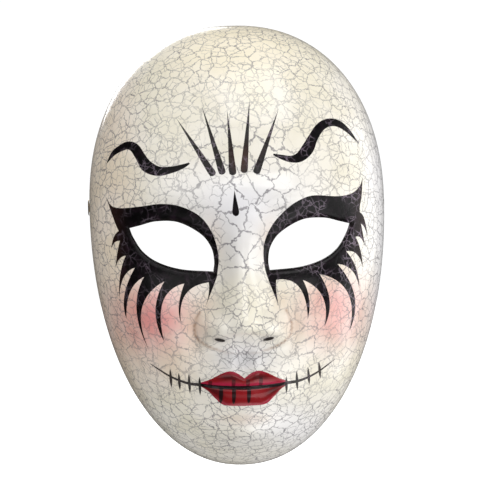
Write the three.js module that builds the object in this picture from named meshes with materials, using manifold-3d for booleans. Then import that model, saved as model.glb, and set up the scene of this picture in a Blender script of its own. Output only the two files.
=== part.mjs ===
// Venetian masquerade mask: a full-face moulded shell worn on an elastic strap.
// Millimetres, +Z up. The face looks along -Y and the wearer's head comes in from +Y.
// The origin is the centre of the flat back rim, at half the mask's height.
import * as THREE from 'three'
import { mergeVertices } from 'three/addons/utils/BufferGeometryUtils.js'
import Module from 'manifold-3d'

const wasm = await Module()
wasm.setup()

// ---- Driving dimensions ----
const HEIGHT = 225
const WIDTH = 151
const WIDEST_Z = 21          // height of the widest line, at the temples
const SKIRT = 20             // straight side wall behind the dome
const DOME = 50              // depth of the dome in front of the side wall
const TUCK = 0.006           // how far the side wall leans in at the rim, as a share of the width
const WALL = 2               // moulded sheet
const GAP = 0.3              // clearance between pieces that touch

const RINGS_DOME = 27
const RINGS_SKIRT = 3
const SPOKES = 76
const RING_CENTRE_Z = -44    // the shell's mesh is finest round the nose
const RING_GROWTH = 1.3

const NOSTRIL = { x: 12.1, z: -47, length: 5.5, height: 2, tilt: 12 }

const RIVET = { y: -9, bore: 1.5, barrel: 2.2, head: 4.2, rolled: 3.2, flange: 0.6 }
const RIVET_HOLE = 2.5
const WASHER_RADIUS = 4.5

const STRAP = { thickness: 1, width: 10, tabTop: 6, tabBottom: 11, sag: 111, corner: 1.5 }
const STITCH = { length: 7, height: 2, thickness: 0.5, drop: 7.5 }
const PAD_THICKNESS = 6
const GLUE = 0.5             // adhesive layer behind each pad
const FOREHEAD_PAD = { x: 0, z: 62, halfWidth: 45, halfHeight: 9 }
const CHEEK_PAD = { x: 48, z: -40, halfWidth: 10, halfHeight: 17 }

// ---- Worked-out values ----
const HALF_WIDTH = WIDTH / 2
const RISE_UP = HEIGHT / 2 - WIDEST_Z
const RISE_DOWN = HEIGHT / 2 + WIDEST_Z
const RIM = 1 + SKIRT / (DOME * Math.PI / 2)   // gauge value at the back rim

// ---- Small maths ----
const clamp = (v, low, high) => Math.min(Math.max(v, low), high)

function smooth(from, to, v) {
  const t = clamp((v - from) / (to - from), 0, 1)
  return t * t * (3 - 2 * t)
}

function hill(x, z, { cx, cz, w, h, power = 2 }) {
  return Math.exp(-Math.pow(Math.abs(x - cx) / w, power) - Math.pow(Math.abs(z - cz) / h, power))
}

// ---- Outline: 0 at the middle of the face, 1 where the dome meets the side wall ----
function gauge(x, z) {
  const above = z > WIDEST_Z
  const reach = above ? RISE_UP : RISE_DOWN
  const n = above ? 2.2 : 2.1
  return Math.pow(Math.pow(Math.abs(x) / HALF_WIDTH, n) + Math.pow(Math.abs(z - WIDEST_Z) / reach, n), 1 / n)
}

// The flattened sheet (arc length from the middle) to the front view, and back.
function toFront(sheetX, sheetZ) {
  const r = Math.max(gauge(sheetX, sheetZ), 1e-9)
  const f = r <= 1 ? Math.sin(r * Math.PI / 2) : 1 - TUCK * ((r - 1) / (RIM - 1)) ** 2
  const k = f / r
  return { x: sheetX * k, z: WIDEST_Z + (sheetZ - WIDEST_Z) * k, r, f }
}

function toSheet(x, z) {
  const f = Math.max(gauge(x, z), 1e-9)
  const k = Math.asin(Math.min(f, 1)) * 2 / Math.PI / f
  return { x: x * k, z: WIDEST_Z + (z - WIDEST_Z) * k }
}

// ---- Relief of the face, mirrored about the middle line ----
const SWELLS = [
  { part: 'forehead', cx: 0, cz: 62, w: 45, h: 30, rise: 3.0 },
  { part: 'brow corner', cx: 26, cz: 24, w: 14, h: 8, rise: 2.0 },
  { part: 'inner eye socket', cx: 24, cz: -2, w: 17, h: 17, rise: -7.5 },
  { part: 'outer eye socket', cx: 44, cz: -2, w: 17, h: 16, rise: -5.5 },
  { part: 'eyelids', cx: 35, cz: 0, w: 20, h: 13, rise: 6.0, power: 2.6 },
  { part: 'cheek', cx: 43, cz: -34, w: 21, h: 21, rise: 6.0 },
  { part: 'hollow under the cheek', cx: 62, cz: -62, w: 20, h: 26, rise: -2.2 },
  { part: 'tip of the nose', cx: 0, cz: -38, w: 9, h: 9, rise: 3.0 },
  { part: 'nose wing', cx: 15, cz: -42.5, w: 6.6, h: 6.6, rise: 8.5, power: 2.6 },
  { part: 'crease behind the wing', cx: 24, cz: -43, w: 4, h: 9, rise: -1.6 },
  { part: 'muzzle', cx: 0, cz: -69, w: 30, h: 19, rise: 7.0 },
  { part: 'groove above the lip', cx: 0, cz: -57, w: 3.2, h: 7, rise: -1.6 },
  { part: 'ridge beside the groove', cx: 6.2, cz: -58, w: 3.0, h: 7, rise: 1.2 },
  { part: 'lip cushion', cx: 0, cz: -71, w: 19, h: 9, rise: 1.6, power: 3 },
  { part: 'fold under the lip', cx: 0, cz: -85.5, w: 17, h: 4.5, rise: -2.4 },
  { part: 'corner of the mouth', cx: 25.5, cz: -70, w: 4, h: 6, rise: -1.5 },
  { part: 'chin', cx: 0, cz: -95, w: 19, h: 13, rise: 10.5 },
]

function browRidge(x, z) {
  const level = 25 - 0.0015 * x * x
  return 4.2 * Math.exp(-(((z - level) / 9.5) ** 2)) * Math.exp(-((x / 50) ** 4))
}

function noseRidge(x, z) {
  const height = 21 * Math.pow(clamp((27 - z) / 65, 0, 1), 1.35) * smooth(-54, -41, z)
  const spread = 8.2 + 6 * smooth(-8, -40, z) + 5 * smooth(2, 26, z)
  return height * Math.exp(-Math.pow(x / spread, 2.3))
}

const LIP_HALF_WIDTH = 22
const mouthLine = (x) => -71.2 + 1.8 * (x / LIP_HALF_WIDTH) ** 2

function upperLipEdge(x) {
  const peak = 7.5
  const bow = x < peak ? 3.6 * Math.pow((peak - x) / peak, 1.6) : 0.03 * (x - peak) ** 2
  return Math.max(-62.9 - bow, mouthLine(x) + 0.2)
}

function lowerLipEdge(x) {
  return -80.3 + 11.2 * Math.pow(clamp((x - 8) / 14, 0, 1), 1.35)
}

function lips(x, z) {
  const middle = mouthLine(x)
  const narrowing = Math.pow(clamp(1 - (x / (LIP_HALF_WIDTH + 0.3)) ** 2, 0, 1), 0.55)
  const u = clamp((z - middle) / Math.max(upperLipEdge(x) - middle, 0.3), 0, 1)
  const v = clamp((middle - z) / Math.max(middle - lowerLipEdge(x), 0.3), 0, 1)
  const upper = Math.pow(4 * u * (1 - u), 0.7)
  const lower = Math.pow(4 * v * (1 - v), 0.65)
  return narrowing * (2.3 * upper + 3.3 * lower)
}

function relief(x, z) {
  const side = Math.abs(x)
  const swells = SWELLS.reduce((sum, s) => sum + s.rise * hill(side, z, s), 0)
  return swells + browRidge(side, z) + noseRidge(side, z) + lips(side, z)
}

// ---- The moulded sheet: a point at any depth below its outer face ----
function outerFace(sheetX, sheetZ) {
  const { x, z, r, f } = toFront(sheetX, sheetZ)
  const down = clamp((WIDEST_Z - z) / RISE_DOWN / Math.max(f, 1e-6), 0, 1)
  const roundness = 2 + 0.9 * down * down
  const inside = Math.min(f, 1)
  const dome = Math.sqrt(clamp(1 - Math.pow(inside, roundness), 0, 1))
  const base = r > 1 ? -SKIRT * (1 - (r - 1) / (RIM - 1)) : -(SKIRT + DOME * dome)
  const fade = 1 - smooth(0.86, 1, r > 1 ? 1 : f)
  return new THREE.Vector3(x, base - relief(x, z) * fade, z)
}

function outwardNormal(sheetX, sheetZ) {
  const step = 0.8
  const across = outerFace(sheetX + step, sheetZ).sub(outerFace(sheetX - step, sheetZ))
  const up = outerFace(sheetX, sheetZ + step).sub(outerFace(sheetX, sheetZ - step))
  return across.cross(up).normalize()
}

function sheetPoint(sheetX, sheetZ, depth) {
  const normal = outwardNormal(sheetX, sheetZ)
  return outerFace(sheetX, sheetZ).addScaledVector(normal, -depth)
}

// ---- Solids ----
function toSolid(geometry) {
  const bare = geometry.clone()
  bare.deleteAttribute('normal')
  bare.deleteAttribute('uv')
  const merged = mergeVertices(bare, 1e-4)
  const vertProperties = Float32Array.from(merged.attributes.position.array)
  const triVerts = Uint32Array.from(merged.index.array)
  return new wasm.Manifold(new wasm.Mesh({ numProp: 3, vertProperties, triVerts }))
}

function toGeometry(solid) {
  const { vertProperties, triVerts } = solid.getMesh()
  const geometry = new THREE.BufferGeometry()
  geometry.setAttribute('position', new THREE.BufferAttribute(Float32Array.from(vertProperties), 3))
  geometry.setIndex(new THREE.BufferAttribute(Uint32Array.from(triVerts), 1))
  geometry.computeVertexNormals()
  return geometry
}

function fromPoints(points, triangles) {
  const geometry = new THREE.BufferGeometry().setFromPoints(points)
  geometry.setIndex(triangles)
  geometry.computeVertexNormals()
  return geometry
}

// A closed sheet made of rings round a middle point: front layer, back layer and the edge between.
function discSheet(rings, spokes, front, back) {
  const points = []
  const triangles = []
  const layerSize = 1 + rings * spokes
  for (const layer of [front, back]) {
    points.push(layer(0, 0))
    for (let ring = 1; ring <= rings; ring++) {
      for (let spoke = 0; spoke < spokes; spoke++) {
        points.push(layer(ring, spoke))
      }
    }
  }
  const at = (layer, ring, spoke) =>
    layer * layerSize + (ring === 0 ? 0 : 1 + (ring - 1) * spokes + (spoke % spokes))
  const quad = (a, b, c, d) => triangles.push(a, b, c, a, c, d)
  for (let s = 0; s < spokes; s++) {
    triangles.push(at(0, 0, 0), at(0, 1, s), at(0, 1, s + 1))
    triangles.push(at(1, 0, 0), at(1, 1, s + 1), at(1, 1, s))
    for (let r = 1; r < rings; r++) {
      quad(at(0, r, s), at(0, r + 1, s), at(0, r + 1, s + 1), at(0, r, s + 1))
      quad(at(1, r, s), at(1, r, s + 1), at(1, r + 1, s + 1), at(1, r + 1, s))
    }
    quad(at(0, rings, s), at(1, rings, s), at(1, rings, s + 1), at(0, rings, s + 1))
  }
  return fromPoints(points, triangles)
}

// ---- Eye holes ----
const EYE_CORNERS = [[14.2, -12.8], [55.5, 9.8]]
const UPPER_LID = [[13.6, -7.8], [14.9, -0.9], [20, 6], [31, 12.1], [42, 12.9], [50, 11.1]]
const LOWER_LID = [[53.6, 5], [49, -2.2], [41.5, -7.7], [30, -11.4]]

function eyeOutline() {
  const toVectors = (list) => list.map(([x, z]) => new THREE.Vector2(x, z))
  const [inner, outer] = toVectors(EYE_CORNERS)
  const upper = new THREE.SplineCurve([inner, ...toVectors(UPPER_LID), outer])
  const lower = new THREE.SplineCurve([outer, ...toVectors(LOWER_LID), inner])
  return [...upper.getSpacedPoints(22).slice(0, -1), ...lower.getSpacedPoints(18).slice(0, -1)]
}

function eyeCutter(side) {
  const shape = new THREE.Shape(eyeOutline().map((p) => new THREE.Vector2(side * p.x, p.y)))
  const prism = new THREE.ExtrudeGeometry(shape, { depth: 80, bevelEnabled: false })
  prism.rotateX(Math.PI / 2)
  prism.translate(0, -30, 0)
  return toSolid(prism)
}

// ---- Nostril slits and rivet holes ----
function nostrilCutter(side) {
  const half = (NOSTRIL.length - NOSTRIL.height) / 2
  const radius = NOSTRIL.height / 2
  const shape = new THREE.Shape()
  shape.absarc(half, 0, radius, -Math.PI / 2, Math.PI / 2)
  shape.absarc(-half, 0, radius, Math.PI / 2, Math.PI * 1.5)
  const slit = new THREE.ExtrudeGeometry(shape, { depth: 9, bevelEnabled: false, curveSegments: 5 })
  slit.translate(0, 0, -6)
  const sheet = toSheet(side * NOSTRIL.x, NOSTRIL.z)
  const normal = outwardNormal(sheet.x, sheet.z)
  const tilt = THREE.MathUtils.degToRad(NOSTRIL.tilt)
  const along = new THREE.Vector3(side * Math.cos(tilt), 0, Math.sin(tilt)).projectOnPlane(normal).normalize()
  const basis = new THREE.Matrix4().makeBasis(along, normal.clone().cross(along), normal)
  basis.setPosition(outerFace(sheet.x, sheet.z))
  slit.applyMatrix4(basis)
  return toSolid(slit)
}

function cylinderAlongX(radius, fromX, toX) {
  const cylinder = new THREE.CylinderGeometry(radius, radius, Math.abs(toX - fromX), 28)
  cylinder.rotateZ(Math.PI / 2)
  cylinder.translate((fromX + toX) / 2, RIVET.y, WIDEST_Z)
  return toSolid(cylinder)
}

// ---- Shell ----
// Its rings close in on the nose, where the relief is finest, and follow the outline outside.
function shellGridPoint(ring, spoke) {
  const angle = spoke / SPOKES * 2 * Math.PI
  const direction = new THREE.Vector2(Math.cos(angle), Math.sin(angle))
  const middle = new THREE.Vector2(0, WIDEST_Z)
  const edge = direction.divideScalar(gauge(direction.x, WIDEST_Z + direction.y))
  if (ring > RINGS_DOME) {
    const beyond = (RIM - 1) * (ring - RINGS_DOME) / RINGS_SKIRT
    return edge.multiplyScalar(1 + beyond).add(middle)
  }
  const nose = toSheet(0, RING_CENTRE_Z)
  const share = Math.pow(ring / RINGS_DOME, RING_GROWTH)
  return new THREE.Vector2(nose.x, nose.z).lerp(edge.add(middle), share)
}

function shellGeometry() {
  const rings = RINGS_DOME + RINGS_SKIRT
  const layer = (depth) => (ring, spoke) => {
    const { x, y: z } = shellGridPoint(ring, spoke)
    if (ring < rings) return sheetPoint(x, z, depth)
    const flat = outwardNormal(x, z).setY(0).normalize()
    return outerFace(x, z).addScaledVector(flat, -depth).setY(0)
  }
  const blank = toSolid(discSheet(rings, SPOKES, layer(0), layer(WALL)))
  const cutters = [-1, 1].flatMap((side) => [
    eyeCutter(side),
    nostrilCutter(side),
    cylinderAlongX(RIVET_HOLE, side * (HALF_WIDTH - 8), side * (HALF_WIDTH + 4)),
  ])
  return toGeometry(cutters.reduce((solid, cutter) => solid.subtract(cutter), blank))
}

// ---- Pads ----
function padGeometry({ x, z, halfWidth, halfHeight }, rings, spokes) {
  const layer = (depth) => (ring, spoke) => {
    const angle = spoke / spokes * 2 * Math.PI
    const square = (v) => Math.sign(v) * Math.pow(Math.abs(v), 0.5)
    const share = ring / rings
    const sheet = toSheet(
      x + halfWidth * share * square(Math.cos(angle)),
      z + halfHeight * share * square(Math.sin(angle)))
    return sheetPoint(sheet.x, sheet.z, depth)
  }
  return discSheet(rings, spokes, layer(WALL + GLUE), layer(WALL + GLUE + PAD_THICKNESS))
}

// ---- Rivets and washers, stacked along X outward from the strap's tab ----
const WALL_FACE = toFront(HALF_WIDTH * (1 + (RIM - 1) * (1 + RIVET.y / SKIRT)), WIDEST_Z).x
const TAB_OUTSIDE = HALF_WIDTH * (1 - TUCK) - WALL - 2 * GAP
const TAB_INSIDE = TAB_OUTSIDE - 2 * STRAP.thickness
const HEAD_INSIDE = WALL_FACE + GAP
const WASHER_OUTSIDE = TAB_INSIDE - GAP
const WASHER_INSIDE = WASHER_OUTSIDE - RIVET.flange
const ROLLED_OUTSIDE = WASHER_INSIDE - GAP
const ROLLED_INSIDE = ROLLED_OUTSIDE - RIVET.flange

function turned(profile, side) {
  const points = [...profile, profile[0]].map(([radius, x]) => new THREE.Vector2(radius, x))
  const lathe = new THREE.LatheGeometry(points, 28)
  lathe.rotateZ(side > 0 ? -Math.PI / 2 : Math.PI / 2)
  lathe.translate(0, RIVET.y, WIDEST_Z)
  return toGeometry(toSolid(lathe))
}

function rivetGeometry(side) {
  const headOutside = HEAD_INSIDE + RIVET.flange
  return turned([
    [RIVET.bore, ROLLED_INSIDE + 0.2],
    [RIVET.bore + 0.4, ROLLED_INSIDE],
    [RIVET.rolled - 0.3, ROLLED_INSIDE],
    [RIVET.rolled, ROLLED_INSIDE + 0.3],
    [RIVET.rolled, ROLLED_OUTSIDE],
    [RIVET.barrel, ROLLED_OUTSIDE],
    [RIVET.barrel, HEAD_INSIDE],
    [RIVET.head, HEAD_INSIDE],
    [RIVET.head - 0.2, headOutside - 0.2],
    [RIVET.head - 0.8, headOutside],
    [RIVET.bore + 0.5, headOutside],
    [RIVET.bore, headOutside - 0.3],
  ], side)
}

function washerGeometry(side) {
  const bore = RIVET.barrel + GAP
  return turned([
    [bore, WASHER_INSIDE],
    [WASHER_RADIUS, WASHER_INSIDE],
    [WASHER_RADIUS, WASHER_OUTSIDE],
    [bore, WASHER_OUTSIDE],
  ], side)
}

// ---- Elastic strap: hangs from the rivets in a long loop, its ends folded double ----
function strapHalf() {
  const start = new THREE.Vector2(TAB_INSIDE + STRAP.thickness / 2, WIDEST_Z - STRAP.tabBottom - 2)
  const lowest = WIDEST_Z - STRAP.sag
  const hang = new THREE.CubicBezierCurve(
    start,
    new THREE.Vector2(start.x, start.y - 60),
    new THREE.Vector2(30, lowest),
    new THREE.Vector2(0, lowest))
  const steps = 20
  const inside = []
  const outside = []
  for (let i = 0; i <= steps; i++) {
    const point = hang.getPoint(i / steps)
    const along = hang.getTangent(i / steps)
    const across = new THREE.Vector2(-along.y, along.x).multiplyScalar(STRAP.thickness / 2)
    outside.push(point.clone().add(across))
    inside.push(point.clone().sub(across))
  }
  return { inside, outside }
}

function strapGeometry() {
  const { inside, outside } = strapHalf()
  const top = WIDEST_Z + STRAP.tabTop
  const foldEnd = WIDEST_Z - STRAP.tabBottom
  const { corner } = STRAP
  const tab = [
    [TAB_INSIDE, top - corner],
    [TAB_INSIDE + corner / 2, top],
    [TAB_OUTSIDE - corner / 2, top],
    [TAB_OUTSIDE, top - corner],
    [TAB_OUTSIDE, foldEnd],
    [TAB_INSIDE + STRAP.thickness, foldEnd],
  ].map(([x, z]) => new THREE.Vector2(x, z))
  const right = [...inside.slice(0, -1).reverse(), ...tab, ...outside.slice(0, -1)]
  const mirror = (p) => new THREE.Vector2(-p.x, p.y)
  const left = right.map(mirror).reverse()
  const outline = [inside[inside.length - 1], ...right, outside[outside.length - 1], ...left]
  const band = new THREE.ExtrudeGeometry(new THREE.Shape(outline), { depth: STRAP.width, bevelEnabled: false })
  band.rotateX(Math.PI / 2)
  band.translate(0, RIVET.y + STRAP.width / 2, 0)
  const holes = [-1, 1].map((side) => cylinderAlongX(RIVET_HOLE, side * (TAB_INSIDE - 2), side * (TAB_OUTSIDE + 2)))
  return toGeometry(holes.reduce((solid, hole) => solid.subtract(hole), toSolid(band)))
}

// The bar of thread that holds each folded end shut, on the side towards the face.
function stitchGeometry(side) {
  const shape = new THREE.Shape()
  const half = (STITCH.length - STITCH.height) / 2
  shape.absarc(half, 0, STITCH.height / 2, -Math.PI / 2, Math.PI / 2)
  shape.absarc(-half, 0, STITCH.height / 2, Math.PI / 2, Math.PI * 1.5)
  const bar = new THREE.ExtrudeGeometry(shape, { depth: STITCH.thickness, bevelEnabled: false, curveSegments: 6 })
  bar.applyMatrix4(new THREE.Matrix4().makeBasis(
    new THREE.Vector3(0, 1, 0), new THREE.Vector3(0, 0, 1), new THREE.Vector3(1, 0, 0)))
  const outside = TAB_INSIDE - GAP
  bar.translate(side > 0 ? outside - STITCH.thickness : -outside, RIVET.y, WIDEST_Z - STITCH.drop)
  return bar
}

// ---- Assembly ----
const FINISHES = {
  glaze: { color: 0xece6d6, roughness: 0.22, metalness: 0 },
  foam: { color: 0x2b2a2d, roughness: 0.95, metalness: 0 },
  metal: { color: 0xc9a35c, roughness: 0.3, metalness: 1 },
  elastic: { color: 0x17161a, roughness: 0.85, metalness: 0 },
  thread: { color: 0x2f2d33, roughness: 0.8, metalness: 0 },
}

const mask = new THREE.Group()

function addPiece(name, geometry, finish) {
  const piece = new THREE.Mesh(geometry, new THREE.MeshStandardMaterial(FINISHES[finish]))
  piece.name = name
  mask.add(piece)
}

addPiece('mask_shell', shellGeometry(), 'glaze')
addPiece('forehead_pad', padGeometry(FOREHEAD_PAD, 4, 32), 'foam')
for (const [name, side] of [['left', -1], ['right', 1]]) {
  addPiece(`cheek_pad_${name}`, padGeometry({ ...CHEEK_PAD, x: side * CHEEK_PAD.x }, 4, 28), 'foam')
  addPiece(`rivet_${name}`, rivetGeometry(side), 'metal')
  addPiece(`washer_${name}`, washerGeometry(side), 'metal')
  addPiece(`strap_stitch_${name}`, stitchGeometry(side), 'thread')
}
addPiece('elastic_strap', strapGeometry(), 'elastic')

export default mask
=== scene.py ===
"""Venetian masquerade mask: the finished looks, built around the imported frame.

The mask faces -Y, +Z is up and +X is on the viewer's right. Shapes are worked out in millimetres,
in the front view (x, z), and meshes are written in metres.
"""
import math

import bmesh
import bpy
import numpy as np
from mathutils import Matrix, Vector
from mathutils.geometry import delaunay_2d_cdt
from mathutils.kdtree import KDTree


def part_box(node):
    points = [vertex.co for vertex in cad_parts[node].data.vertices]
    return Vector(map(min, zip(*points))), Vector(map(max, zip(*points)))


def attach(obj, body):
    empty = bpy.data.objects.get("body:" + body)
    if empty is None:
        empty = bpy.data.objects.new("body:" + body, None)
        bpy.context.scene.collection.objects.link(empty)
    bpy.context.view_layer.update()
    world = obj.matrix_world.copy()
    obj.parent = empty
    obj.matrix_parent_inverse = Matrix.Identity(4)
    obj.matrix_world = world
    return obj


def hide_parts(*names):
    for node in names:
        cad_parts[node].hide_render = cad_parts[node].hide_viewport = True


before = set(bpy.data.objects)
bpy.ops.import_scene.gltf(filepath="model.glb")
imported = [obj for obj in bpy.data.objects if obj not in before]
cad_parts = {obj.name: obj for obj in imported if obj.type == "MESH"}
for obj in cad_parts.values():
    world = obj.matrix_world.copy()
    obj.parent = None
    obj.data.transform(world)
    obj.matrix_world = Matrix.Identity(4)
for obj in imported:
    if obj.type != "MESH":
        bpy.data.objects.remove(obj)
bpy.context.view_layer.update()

MM = 0.001


def box_mm(node):
    """A CAD node's lowest and highest corners, in mm."""
    return [np.array(corner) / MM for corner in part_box(node)]


def add_object(name, data):
    item = bpy.data.objects.new(name, data)
    bpy.context.scene.collection.objects.link(item)
    return item


# ---- Sizes taken from the frame, in mm ----
shell_low, shell_high = box_mm("mask_shell")
HALF_WIDTH = shell_high[0]
TOP_Z = shell_high[2]
CHIN_Z = shell_low[2]

# ---- Driving sizes of the moulded sheet, in mm, the same as in the CAD ----
WIDEST_Z = 21.0          # height of the widest line, where the rivets are too
SKIRT = 20.0             # straight side wall behind the dome
DOME = 50.0              # depth of the dome in front of it
TUCK = 0.006             # how far the side wall leans in at the rim, as a share of the width
WALL = 2.0               # thickness of the sheet
ROLL = 3.0               # radius of the turned-in edge of the eye holes
RIVET_Y = -9.0
LIP_HALF_WIDTH = 22.0

# ---- Worked out ----
RISE_UP = TOP_Z - WIDEST_Z
RISE_DOWN = WIDEST_Z - CHIN_Z
RIM = 1 + SKIRT / (DOME * math.pi / 2)   # gauge value at the back rim


# ---- Camera ----
def add_camera():
    """A long lens two metres away, turned and rolled a little, as a product shot is."""
    distance = 2000.0
    turn = math.radians(-2.2)
    roll = math.radians(-1.3)
    view_width = 252.15
    aim = Vector((4.2, -SKIRT, -0.5))
    back = Vector((math.sin(turn), -math.cos(turn), 0))
    data = bpy.data.cameras.new("camera")
    data.sensor_width = 36
    data.lens = data.sensor_width * distance / view_width
    data.clip_end = 20
    camera = add_object("camera", data)
    facing = (-back).to_track_quat("-Z", "Y").to_matrix() @ Matrix.Rotation(roll, 3, "Z")
    camera.matrix_world = Matrix.Translation((aim + back * distance) * MM) @ facing.to_4x4()
    bpy.context.scene.camera = camera


# ---- Small maths ----
def smooth(start, end, v):
    t = np.clip((v - start) / (end - start), 0, 1)
    return t * t * (3 - 2 * t)


def hill(x, z, cx, cz, w, h, power=2.0):
    return np.exp(-(np.abs(x - cx) / w) ** power - (np.abs(z - cz) / h) ** power)


def unit(v):
    return v / np.maximum(np.linalg.norm(v, axis=-1, keepdims=True), 1e-12)


def full_turn(count):
    """Even steps once round, in radians."""
    return np.linspace(0, 2 * math.pi, count, endpoint=False)


def distance_along(path):
    """How far along the path each of its points is."""
    return np.concatenate([[0], np.cumsum(np.linalg.norm(np.diff(path, axis=0), axis=1))])


def ring_quads(rings, sides, closed=False):
    """Quads from each ring of points to the next one, and from the last to the first where closed."""
    quads = []
    for i in range(rings if closed else rings - 1):
        j = (i + 1) % rings
        for k in range(sides):
            m = (k + 1) % sides
            quads.append((i * sides + k, j * sides + k, j * sides + m, i * sides + m))
    return quads


def end_caps(rings, sides):
    last = (rings - 1) * sides
    return [tuple(range(sides))[::-1], tuple(range(last, last + sides))]


# ---- The face, the same formulas as the frame's shell ----
def gauge(x, z):
    """0 at the middle of the face, 1 where the dome meets the side wall."""
    above = z > WIDEST_Z
    reach = np.where(above, RISE_UP, RISE_DOWN)
    n = np.where(above, 2.2, 2.1)
    return (np.abs(x / HALF_WIDTH) ** n + np.abs((z - WIDEST_Z) / reach) ** n) ** (1 / n)


def to_front(sheet):
    """Flattened sheet to front view: x, z, gauge on the sheet and gauge in the front view."""
    r = np.maximum(gauge(sheet[:, 0], sheet[:, 1]), 1e-9)
    lean = 1 - TUCK * (np.maximum(r - 1, 0) / (RIM - 1)) ** 2
    f = np.where(r <= 1, np.sin(np.minimum(r, 1) * math.pi / 2), lean)
    k = f / r
    return sheet[:, 0] * k, WIDEST_Z + (sheet[:, 1] - WIDEST_Z) * k, r, f


def to_sheet(front):
    front = np.asarray(front, float)
    f = np.maximum(gauge(front[:, 0], front[:, 1]), 1e-9)
    k = np.arcsin(np.minimum(f, 1)) * 2 / math.pi / f
    return np.stack([front[:, 0] * k, WIDEST_Z + (front[:, 1] - WIDEST_Z) * k], -1)


# Each swell: centre x, centre z, half width, half height, rise and, if not 2, its power.
SWELLS = {
    "forehead": (0, 62, 45, 30, 3.0),
    "brow corner": (26, 24, 14, 8, 2.0),
    "inner eye socket": (24, -2, 17, 17, -7.5),
    "outer eye socket": (44, -2, 17, 16, -5.5),
    "eyelids": (35, 0, 20, 13, 6.0, 2.6),
    "cheek": (43, -34, 21, 21, 6.0),
    "hollow under the cheek": (62, -62, 20, 26, -2.2),
    "tip of the nose": (0, -38, 9, 9, 3.0),
    "nose wing": (15, -42.5, 6.6, 6.6, 8.5, 2.6),
    "crease behind the wing": (24, -43, 4, 9, -1.6),
    "muzzle": (0, -69, 30, 19, 7.0),
    "groove above the lip": (0, -57, 3.2, 7, -1.6),
    "ridge beside the groove": (6.2, -58, 3.0, 7, 1.2),
    "lip cushion": (0, -71, 19, 9, 1.6, 3),
    "fold under the lip": (0, -85.5, 17, 4.5, -2.4),
    "corner of the mouth": (25.5, -70, 4, 6, -1.5),
    "chin": (0, -95, 19, 13, 10.5),
}


def mouth_line(side):
    return -71.2 + 1.8 * (side / LIP_HALF_WIDTH) ** 2


def upper_lip_edge(side):
    peak = 7.5
    dip = 3.6 * np.clip((peak - side) / peak, 0, 1) ** 1.6
    bow = np.where(side < peak, dip, 0.03 * (side - peak) ** 2)
    return np.maximum(-62.9 - bow, mouth_line(side) + 0.2)


def lower_lip_edge(side):
    return -80.3 + 11.2 * np.clip((side - 8) / 14, 0, 1) ** 1.35


def lip_height(side, z):
    """Where a point lies between the mouth line, 0, and the lip's edges, 1 above and -1 below."""
    middle = mouth_line(side)
    up = (z - middle) / np.maximum(upper_lip_edge(side) - middle, 0.3)
    down = (middle - z) / np.maximum(middle - lower_lip_edge(side), 0.3)
    return np.where(z > middle, up, -down)


def lips(side, z):
    level = lip_height(side, z)
    u = np.clip(level, 0, 1)
    v = np.clip(-level, 0, 1)
    narrowing = np.clip(1 - (side / (LIP_HALF_WIDTH + 0.3)) ** 2, 0, 1) ** 0.55
    return narrowing * (2.3 * (4 * u * (1 - u)) ** 0.7 + 3.3 * (4 * v * (1 - v)) ** 0.65)


def relief(x, z):
    side = np.abs(x)
    height = sum(rise * hill(side, z, cx, cz, w, h, *power)
                 for cx, cz, w, h, rise, *power in SWELLS.values())
    brow_level = 25 - 0.0015 * side * side
    height += 4.2 * np.exp(-((z - brow_level) / 9.5) ** 2) * np.exp(-(side / 50) ** 4)
    ridge = 21 * np.clip((27 - z) / 65, 0, 1) ** 1.35 * smooth(-54, -41, z)
    spread = 8.2 + 6 * smooth(-8, -40, z) + 5 * smooth(2, 26, z)
    height += ridge * np.exp(-(side / spread) ** 2.3)
    return height + lips(side, z)


def outer_face(sheet):
    x, z, r, f = to_front(sheet)
    down = np.clip((WIDEST_Z - z) / RISE_DOWN / np.maximum(f, 1e-6), 0, 1)
    dome = np.sqrt(np.clip(1 - np.minimum(f, 1) ** (2 + 0.9 * down * down), 0, 1))
    wall = -SKIRT * (1 - (r - 1) / (RIM - 1))
    base = np.where(r > 1, wall, -(SKIRT + DOME * dome))
    fade = 1 - smooth(0.86, 1.0, np.where(r > 1, 1, f))
    return np.stack([x, base - relief(x, z) * fade, z], -1)


def outward(sheet, step=0.8):
    """Unit normals of the outer face, pointing out of the material."""
    along = np.array([step, 0])
    up = np.array([0, step])
    across = outer_face(sheet + along) - outer_face(sheet - along)
    rising = outer_face(sheet + up) - outer_face(sheet - up)
    return unit(np.cross(across, rising))


def below_face(sheet, depth):
    return outer_face(sheet) - outward(sheet) * np.reshape(depth, (-1, 1))


# ---- Outlines in the front view ----
def spline(points, spacing, closed=False):
    """A smooth curve through the points, sampled about every `spacing` mm."""
    p = np.asarray(points, float)
    if closed:
        p = np.vstack([p[-1], p, p[0], p[1]])
    else:
        p = np.vstack([2 * p[0] - p[1], p, 2 * p[-1] - p[-2]])
    out = []
    for a, b, c, d in zip(p[:-3], p[1:-2], p[2:-1], p[3:]):
        count = max(2, int(round(np.linalg.norm(c - b) / spacing)))
        t = np.linspace(0, 1, count, endpoint=False)[:, None]
        out.append(0.5 * (2 * b + (c - a) * t + (2 * a - 5 * b + 4 * c - d) * t ** 2
                          + (3 * b - a - 3 * c + d) * t ** 3))
    if not closed:
        out.append(p[-2][None])
    return np.vstack(out)


def bezier(start, bend, end, spacing=0.8):
    start, bend, end = (np.asarray(p, float) for p in (start, bend, end))
    count = max(4, int(round((np.linalg.norm(bend - start) + np.linalg.norm(end - bend)) / spacing)))
    t = np.linspace(0, 1, count, endpoint=False)[:, None]
    return (1 - t) ** 2 * start + 2 * t * (1 - t) * bend + t * t * end


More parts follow.
